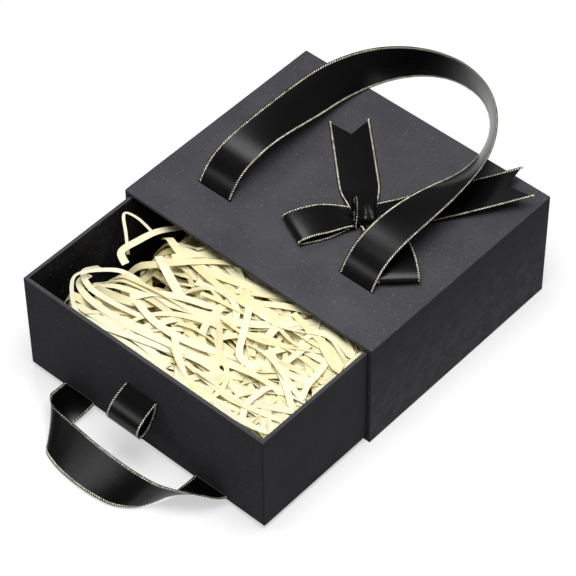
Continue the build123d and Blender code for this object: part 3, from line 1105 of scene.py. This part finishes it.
@dataclass
class Bow:
    """The bow on the top: two flat loops, two forked tails and the knot."""

    satin: bpy.types.Material
    thread: bpy.types.Material
    pad: bpy.types.Material
    centre: Vector = fixed(26.0, -6.0, 79.0)
    clear: float = 6.0
    pad_thick: float = 0.6
    left_loop: LoopShape = LoopShape(length=44.0, angle=-132.0, gathered=16.0, bend=18.0, height=5.0)
    right_loop: LoopShape = LoopShape(length=55.5, angle=-15.5, gathered=14.0, bend=-30.0, height=6.6)
    back_tail: TailShape = TailShape(length=82.0, angle=137.0, gathered=16.0, lift=0.0)
    right_tail: TailShape = TailShape(length=97.0, angle=54.0, gathered=14.0, lift=9.4)
    notch: float = 12.0
    knot_size: Vector = fixed(14.0, 18.0, 8.8)
    knot_shift: Vector = fixed(0.0, 1.0, 0.9)
    knot_turn: float = 42.0
    knot_power: float = 0.72
    knot_thickness: float = 0.5

    def build(self) -> None:
        """Make the loops, the tails and the knot."""
        self._loop("left", self.left_loop)
        self._loop("right", self.right_loop)
        self._tail("back", self.back_tail)
        self._tail("right", self.right_tail)
        self._knot()
        dress_nodes(self.pad, "bow_adhesive_pad")

    def _loop(self, side: str, shape: LoopShape) -> None:
        """Make one flattened loop, which bends aside from the knot to its fold.

        Args:
            side: The side that its name gives.
            shape: How it lies.
        """
        reach = shape.length - self.clear
        outset = Matrix.Rotation(radians(shape.angle), 3, "Z") @ Vector((self.clear, 0, 0))
        start = self.centre + UP * (self.pad_thick + shape.height / 2) + outset
        way = []
        for spot, turn in teardrop(reach, shape.height):
            yaw = radians(shape.angle + shape.bend * spot.x / reach)
            half = radians(shape.angle + shape.bend * spot.x / reach / 2)
            out, sideways = Vector((cos(yaw), sin(yaw), 0)), Vector((-sin(yaw), cos(yaw), 0))
            place = start + Vector((cos(half), sin(half), 0)) * spot.x + UP * spot.y
            width = shape.gathered + (STOCK - shape.gathered) * ease(spot.x, -4, reach * 0.55)
            way.append(Station(place * MM, out * turn.x + UP * turn.y, sideways, width * MM))
        total = sum((b.place - a.place).length for a, b in zip(way, way[1:])) / MM

        def relief(across: float, run: float) -> float:
            """Gather the ribbon at both ends and arch it lightly between them."""
            near = min(run, total - run)
            gather = 0.5 * cos(across * pi * 2.2 + 0.6) * (1 - ease(near, 0, 20)) * ease(near, 0, 3)
            return gather + 0.35 * (1 - across**2) * ease(near, 4, 24)

        self._ribbon(f"bow_{side}_loop", way, f"bow_loop_{side}", "folded", ["bow_knot_wrap"], relief=relief)

    def _tail(self, side: str, shape: TailShape) -> None:
        """Make one tail with its forked tip.

        Args:
            side: The side that its name gives.
            shape: How it lies.
        """
        out = Vector((cos(radians(shape.angle)), sin(radians(shape.angle)), 0))
        sideways = Vector((-out.y, out.x, 0))
        steps = 80

        def place(share: float) -> Vector:
            """Find the tail's middle at a share of its length."""
            height = self.pad_thick + 2.2 * (1 - ease(share, 0.0, 0.22)) + shape.lift * share**1.5
            return self.centre + UP * height + out * (self.clear + (shape.length - self.clear) * share)

        way = []
        for index in range(steps + 1):
            share = index / steps
            along = (place(min(share + 0.01, 1.0)) - place(max(share - 0.01, 0.0))).normalized()
            width = shape.gathered + (STOCK - shape.gathered) * ease(share, -0.1, 0.3)
            way.append(Station(place(share) * MM, along, sideways, width * MM))

        def relief(across: float, run: float) -> float:
            """Gather the ribbon at the knot and arch it lightly further out."""
            gather = 0.55 * (cos(across * pi * 1.8 + 0.8) + 1) * (1 - ease(run, 0, 20))
            return gather + 0.25 * (1 - across**2) * ease(run, 8, 30)

        name, node = f"bow_{side}_tail", f"bow_tail_{side}"
        self._ribbon(name, way, node, "laid", ["sleeve_cover"], relief=relief, notch=self.notch)

    def _knot(self) -> None:
        """Make the knot: gathered ribbon wrapped once round the middle, with its thread along one side."""
        size, shift, steps = self.knot_size, self.knot_shift, 96
        turn = Matrix.Rotation(radians(self.knot_turn), 3, "Z")
        middle = self.centre + UP * (shift.z + size.z / 2) + Vector((shift.x, shift.y, 0.0))

        def squared(value: float) -> float:
            """Bring a sine or cosine closer to the side of a square."""
            return abs(value) ** self.knot_power * (1 if value > 0 else -1)

        way = []
        for index in range(steps + 1):
            angle = -pi / 2 + tau * index / steps
            c, s = cos(angle), sin(angle)
            spot = Vector((0.0, squared(c) * size.y / 2, squared(s) * size.z / 2))
            along = Vector((0.0, -s * size.y, c * size.z)).normalized()
            width = size.x * (1.0 - 0.12 * max(s, 0.0))
            place = (middle + turn @ spot) * MM
            way.append(Station(place, turn @ along, turn @ Vector((1, 0, 0)), width * MM))
        total = sum((b.place - a.place).length for a, b in zip(way, way[1:])) / MM

        def relief(across: float, run: float) -> float:
            """Sink the middle in creases and raise the sides, away from the hidden joint."""
            swell = ease(run, 0, 6) * ease(total - run, 0, 6)
            crease = 0.42 * cos(across * pi * 1.7 + 0.9 + 0.8 * sin(run / total * tau))
            rim = 2.4 * ease(abs(across), 0.72, 1.0)
            return -(1.1 * (1 - abs(across) ** 2.6) + crease) * swell + rim * swell

        settings = {"relief": relief, "thickness": self.knot_thickness, "cut_width": size.x, "threads": (-1,)}
        holders = ["bow_left_loop", "bow_right_loop"]
        self._ribbon("bow_knot_wrap", way, "bow_knot", "gathered", holders, **settings)

    def _ribbon(
        self, name: str, way: list[Station], node: str, held: str, rests_on: list[str], **settings: object
    ) -> None:
        """Make one ribbon of the bow.

        Args:
            name: The piece's name.
            way: Its stations.
            node: The CAD node that it stands for.
            held: How it is held; the ribbon keeps this but does not use it.
            rests_on: What holds it; the ribbon keeps this but does not use it.
            settings: Other fields of Ribbon.
        """
        Ribbon(name, way, Body.SLEEVE, node, held, rests_on, self.satin, self.thread, **settings).build()


# ---------------------------------------------------------------- shred


@dataclass(frozen=True)
class Wave:
    """A sway along a strip."""

    size: float
    turns: float
    start: float


@dataclass(frozen=True)
class Layer:
    """One layer of the heap: its piece, its number of strips and its depths under the surface."""

    name: str
    count: int
    shallow: float
    deep: float


@dataclass
class Strip:
    """One strip: pairs of edge points, its tone and its depth share, which sets its painted shade."""

    edges: np.ndarray
    tone: float
    depth: float


def sway(waves: list[Wave], share: float) -> float:
    """Return the sum of the waves at a share of the strip's length."""
    return sum(wave.size * sin(wave.turns * share * tau + wave.start) for wave in waves)


def draw_waves(source: random.Random, sizes: tuple[float, float], turns: tuple[float, float]) -> list[Wave]:
    """Draw two waves.

    Args:
        source: Where the chance comes from.
        sizes: Least and greatest size.
        turns: Least and greatest number of turns.

    Returns:
        The waves.
    """
    return [Wave(source.uniform(*sizes), source.uniform(*turns), source.uniform(0, tau)) for _ in range(2)]


@dataclass
class ShredHeap:
    """Long curled strips that fill the drawer, high at the front and low at the back left."""

    finish: bpy.types.Material
    left: float = -89.0
    right: float = 89.0
    front: float = -163.3
    back: float = -12.4
    floor: float = 6.4
    ceiling: float = 74.6
    thickness: float = 0.12
    lengths: tuple[float, float] = (90.0, 210.0)
    widths: tuple[float, float] = (2.6, 4.8)
    step: float = 3.4
    least_steps: int = 14
    deepest: float = 24.0
    seed: int = 20
    layers: tuple[Layer, ...] = (
        Layer("shred_deep", 140, 12.0, 26.0),
        Layer("shred_middle", 190, 4.0, 13.0),
        Layer("shred_top", 150, -2.5, 4.5),
    )
    laid: tuple[tuple[float, tuple[Point, ...]], ...] = (
        (5.0, ((-40, -133, 69), (-31, -123, 71), (-15, -115, 72), (0, -109, 71), (9, -101, 69))),
        (4.6, (
            (-35, -133, 70), (-17, -138, 71), (0, -138, 71),
            (18, -135, 72), (30, -130, 71), (37, -127, 69),
        )),
        (4.2, (
            (8, -84, 70), (20, -99, 73), (29, -113, 73),
            (37, -125, 71), (48, -126, 70), (55, -125, 69),
        )),
        (4.6, ((-62, -114, 66), (-68, -111, 70), (-66, -99, 71), (-64, -85, 69), (-60, -71, 64))),
        (5.2, ((-48, -101, 72), (-33, -108, 72), (-21, -113, 71), (-12, -114, 67))),
        (3.6, ((59, -104, 69), (57, -92, 72), (61, -84, 73), (73, -84, 73), (85, -88, 70))),
        (4.0, ((86, -130, 70), (81, -118, 72), (79, -104, 73), (75, -92, 71))),
        (3.8, ((72, -161, 70), (65, -151, 72), (65, -140, 73), (67, -131, 72), (76, -127, 70))),
        (2.6, (
            (-54, -161, 67), (-63, -156, 70), (-72, -146, 73),
            (-70, -136, 72), (-59, -123, 70), (-47, -118, 66),
        )),
        (1.9, ((-69, -105, 62), (-76, -99, 69), (-85, -91, 74), (-78, -87, 72), (-68, -85, 65))),
        (3.8, ((-26, -74, 66), (-8, -81, 70), (6, -80, 70), (18, -77, 70), (26, -71, 67))),
        (5.4, ((40, -112, 67), (40, -103, 72), (39, -94, 72), (37, -82, 67))),
        (4.4, ((-7, -152, 68), (11, -146, 71), (26, -142, 71), (45, -143, 71), (60, -146, 69))),
        (4.4, ((-34, -150, 69), (-16, -149, 72), (0, -146, 72), (16, -143, 71), (30, -135, 69))),
        (4.0, ((-20, -100, 69), (-7, -98, 72), (7, -98, 72), (17, -106, 71), (21, -119, 69))),
        (3.8, ((-49, -86, 67), (-32, -84, 70), (-15, -86, 71), (-6, -88, 68))),
        (4.2, ((-70, -150, 58), (-58, -158, 65), (-38, -160, 68), (-10, -159, 69), (20, -161, 69))),
        (4.6, ((-74, -143, 56), (-63, -153, 64), (-44, -156, 69), (-18, -154, 70), (12, -156, 69))),
        (4.4, ((-66, -161, 60), (-50, -161, 67), (-28, -157, 70), (-2, -150, 71), (14, -146, 69))),
        (4.0, (
            (-78, -128, 57), (-72, -142, 65), (-56, -149, 69),
            (-34, -150, 71), (-14, -145, 70), (4, -142, 68),
        )),
        (3.6, ((-80, -118, 54), (-76, -134, 66), (-62, -143, 70), (-42, -144, 72), (-24, -139, 69))),
    )

    def build(self) -> None:
        """Make each layer as one piece, the last one with the strips that are laid through listed points."""
        source = random.Random(self.seed)
        for layer in self.layers:
            strips = [self._strip(source, layer) for _ in range(layer.count)]
            nodes = ()
            if layer is self.layers[-1]:
                nodes = ("paper_shred",)
                strips += [self._laid(source, width, route) for width, route in self.laid]
            self._join(layer.name, strips, *nodes)

    def _top(self, x: float, y: float) -> float:
        """Return the height of the heap's surface."""
        height = 69.5 - 17.0 * ease(y, -85.0, self.back)
        corner = ease(-x, 50.0, 84.0) * ease(y, -150.0, -112.0)
        return height - 46.0 * corner - 30.0 * ease(-x, 66.0, 84.0) * (1 - corner)

    def _strip(self, source: random.Random, layer: Layer) -> Strip:
        """Wander one strip over the heap.

        Args:
            source: Where the chance comes from.
            layer: The layer that it lies in.

        Returns:
            The strip.
        """
        x = source.uniform(self.left + 6, self.right - 6)
        y = source.uniform(self.front + 3, self.back - 4)
        loose = ease(x, 0.0, 60.0)
        heading = source.gauss(radians(12 - 4 * loose), radians(20 + 50 * loose))
        length = source.uniform(*self.lengths)
        width = source.uniform(*self.widths)
        depth = source.uniform(layer.shallow, layer.deep)
        bend = []
        for _ in range(3):
            size = source.gauss(0, 0.28 + 0.3 * loose)
            bend.append(Wave(size, source.uniform(0.3, 1.3), source.uniform(0, tau)))
        wave = draw_waves(source, (0.5, 2.4), (0.8, 2.6))
        roll = draw_waves(source, (0.1, 0.6), (0.5, 2.0))
        kink, kinked = source.uniform(0.2, 0.8), source.gauss(0, 0.35)
        steps = max(int(length / self.step), self.least_steps)
        places = []
        for index in range(steps + 1):
            share = index / steps
            turn = heading + sway(bend, share) + kinked * (share > kink)
            x += cos(turn) * length / steps
            y += sin(turn) * length / steps
            if not self.left + 3 < x < self.right - 3:
                heading = pi - heading
            if not self.front + 3 < y < self.back - 3:
                heading = -heading
            x, y = min(max(x, self.left + 1), self.right - 1), min(max(y, self.front + 1), self.back - 1)
            height = self._top(x, y) - depth + sway(wave, share)
            places.append(Vector((x, y, min(max(height, self.floor + 3), self.ceiling - 2))))
        # How deep the strip lies sets its painted shade.
        painted_shade_share = min(max(depth, 0.0) / self.deepest, 1.0)
        return Strip(self._band(places, width, roll), source.random(), painted_shade_share)

    def _laid(self, source: random.Random, width: float, route: tuple[Point, ...]) -> Strip:
        """Lay one strip through its given points.

        Args:
            source: Where the chance of its twist comes from.
            width: The strip's width.
            route: The points that it passes.

        Returns:
            The strip.
        """
        roll = draw_waves(source, (0.05, 0.3), (0.5, 1.3))
        return Strip(self._band(smooth_line(route, 8), width, roll), 0.75 + 0.25 * source.random(), 0.0)

    def _band(self, places: list[Vector], width: float, roll: list[Wave]) -> np.ndarray:
        """Give a strip its width and keep it inside the drawer.

        Args:
            places: The strip's line.
            width: Its width.
            roll: How it turns about its line.

        Returns:
            Pairs of edge points.
        """
        steps = len(places) - 1
        pairs = []
        for index, place in enumerate(places):
            along = (places[min(index + 1, steps)] - places[max(index - 1, 0)]).normalized()
            flat = UP.cross(along).normalized()
            lean = sway(roll, index / steps)
            across = (flat * cos(lean) + along.cross(flat) * sin(lean)) * (width / 2)
            pairs.append([place - across, place + across])
        low, high = (self.left, self.front, self.floor), (self.right, self.back, self.ceiling)
        return np.clip(np.array(pairs), low, high)

    def _join(self, name: str, strips: list[Strip], *nodes: str) -> None:
        """Join strips as one piece with thickness, tone and depth.

        Args:
            name: The piece's name.
            strips: Its strips.
            nodes: The CAD nodes that it stands for.
        """
        points, faces, tones, depths = [], [], [], []
        for strip in strips:
            first, count = len(points), len(strip.edges)
            points += (strip.edges.reshape(-1, 3) * MM).tolist()
            starts = range(first, first + 2 * (count - 1), 2)
            faces += [(start, start + 1, start + 3, start + 2) for start in starts]
            tones += [strip.tone] * (2 * count)
            depths += [strip.depth] * (2 * count)
        piece = mesh_piece(name, points, faces, tone=tones, depth=depths)
        apply_modifier(piece, "SOLIDIFY", thickness=self.thickness * MM, offset=0.0)
        smooth(piece, 50.0)
        finish(piece, self.finish, Body.DRAWER, Slot.SHRED, *nodes)


# ---------------------------------------------------------------- studio


@dataclass(frozen=True)
class Softbox:
    """A square lamp, in metres and watts, that faces its target."""

    name: str
    place: Point
    target: Point
    size: float
    power: float

    def hang(self) -> None:
        """Add the lamp to the scene."""
        data = bpy.data.lights.new(self.name, "AREA")
        data.shape, data.size, data.energy = "SQUARE", self.size, self.power
        lamp = bpy.data.objects.new(self.name, data)
        lamp.location = self.place
        facing = Vector(self.place) - Vector(self.target)
        lamp.rotation_euler = facing.to_track_quat("Z", "Y").to_euler()
        bpy.context.scene.collection.objects.link(lamp)


@dataclass
class Studio:
    """A pale floor, soft lamps and the camera at the photograph's angle."""

    camera_place: Vector = fixed(0.731, -0.850, 1.223)
    camera_back: Vector = fixed(0.4532, -0.5000, 0.7380)
    roll: float = -0.55
    lens: float = 171.7
    world: float = 0.15
    floor_size: float = 14.0
    floor_drop: float = 0.0002
    floor_lit: Colour = (0.28, 0.28, 0.28)
    floor_shown: Colour = (0.62, 0.62, 0.62)
    floor_glow: float = 0.54
    lamps: tuple[Softbox, ...] = (
        Softbox("overhead_softbox", (0.11, -0.11, 0.72), (0.07, -0.09, 0.05), 0.45, 4.4),
        Softbox("left_softbox", (-0.417, 0.173, 0.776), (-0.03, -0.02, 0.09), 0.2, 1.0),
        Softbox("front_softbox", (-0.38, -0.72, 0.49), (-0.02, -0.20, 0.01), 0.16, 0.45),
    )

    def build(self) -> None:
        """Set the camera, the floor, the lamps and the world."""
        self._camera()
        self._floor()
        for lamp in self.lamps:
            lamp.hang()
        world = bpy.context.scene.world or bpy.data.worlds.new("studio")
        bpy.context.scene.world = world
        world.use_nodes = True
        graph = Graph(world.node_tree)
        ground = graph.node("ShaderNodeBackground", {"Color": WHITE, "Strength": self.world})
        graph.node("ShaderNodeOutputWorld", {"Surface": ground.outputs[0]})
        bpy.context.scene.view_settings.view_transform = "Standard"

    def _camera(self) -> None:
        """Place the camera."""
        back = self.camera_back.normalized()
        level = UP.cross(back).normalized()
        high = back.cross(level)
        c, s = cos(radians(self.roll)), sin(radians(self.roll))
        right, up = level * c + high * s, high * c - level * s
        data = bpy.data.cameras.new("photo_camera")
        data.lens, data.sensor_width = self.lens, 36.0
        data.clip_end = 20.0
        camera = bpy.data.objects.new("photo_camera", data)
        axes = zip(right, up, back, self.camera_place)
        camera.matrix_world = Matrix((*axes, (0.0, 0.0, 0.0, 1.0)))
        bpy.context.scene.collection.objects.link(camera)
        bpy.context.scene.camera = camera

    def _floor(self) -> None:
        """Lay the floor, which keeps the object's shadow and shows white where it is fully lit."""
        clear_selection()
        bpy.ops.mesh.primitive_plane_add(size=self.floor_size, location=(0.0, 0.0, -self.floor_drop))
        bpy.ops.object.transform_apply(location=True, rotation=True, scale=True)
        floor = bpy.context.object
        floor.name = "studio_floor"
        material = bpy.data.materials.new("white_floor")
        material.use_nodes = True
        graph = Graph(material.node_tree)
        path = graph.node("ShaderNodeLightPath").outputs
        seen = graph.math("MAXIMUM", path["Is Camera Ray"], path["Is Transmission Ray"])
        shown = graph.math("MAXIMUM", seen, path["Is Glossy Ray"])
        colour = graph.mix(shown, self.floor_lit, self.floor_shown)
        surface = graph.node("ShaderNodeBsdfDiffuse", {"Color": colour})
        strength = graph.math("MULTIPLY", shown, self.floor_glow)
        glow = graph.node("ShaderNodeEmission", {"Color": WHITE, "Strength": strength})
        both = graph.node("ShaderNodeAddShader", {0: surface.outputs[0], 1: glow.outputs[0]})
        graph.node("ShaderNodeOutputMaterial", {"Surface": both.outputs[0]})
        floor.data.materials.append(material)


def main() -> None:
    """Build the sub-assemblies in order."""
    logging.basicConfig(level=logging.INFO, format="%(name)s %(message)s")
    cover = PaperFinish("charcoal_cover", (0.082, 0.081, 0.090), (0.056, 0.055, 0.062)).material()
    blacks = ((0.012, 0.011, 0.013), (0.007, 0.007, 0.008))
    lining = PaperFinish("black_lining", *blacks, share=0.03, scuffing_and_highlight=0.0, dust=0.1).material()
    board = PaperFinish("greyboard", (0.30, 0.28, 0.25), (0.22, 0.21, 0.19), share=0.1, scuffing_and_highlight=0.0).material()
    pad = PaperFinish("foam_pad", (0.55, 0.55, 0.52), (0.42, 0.42, 0.40), share=0.0, scuffing_and_highlight=0.0).material()
    satin, thread = SatinFinish().material(), ThreadFinish().material()
    Studio().build()
    Sleeve(cover, lining, board).build()
    Drawer(cover, lining, board).build()
    Handles(satin, thread).build()
    PullTab(satin, thread).build()
    Bow(satin, thread, pad).build()
    ShredHeap(ShredFinish().material()).build()


if __name__ == "__main__":
    main()
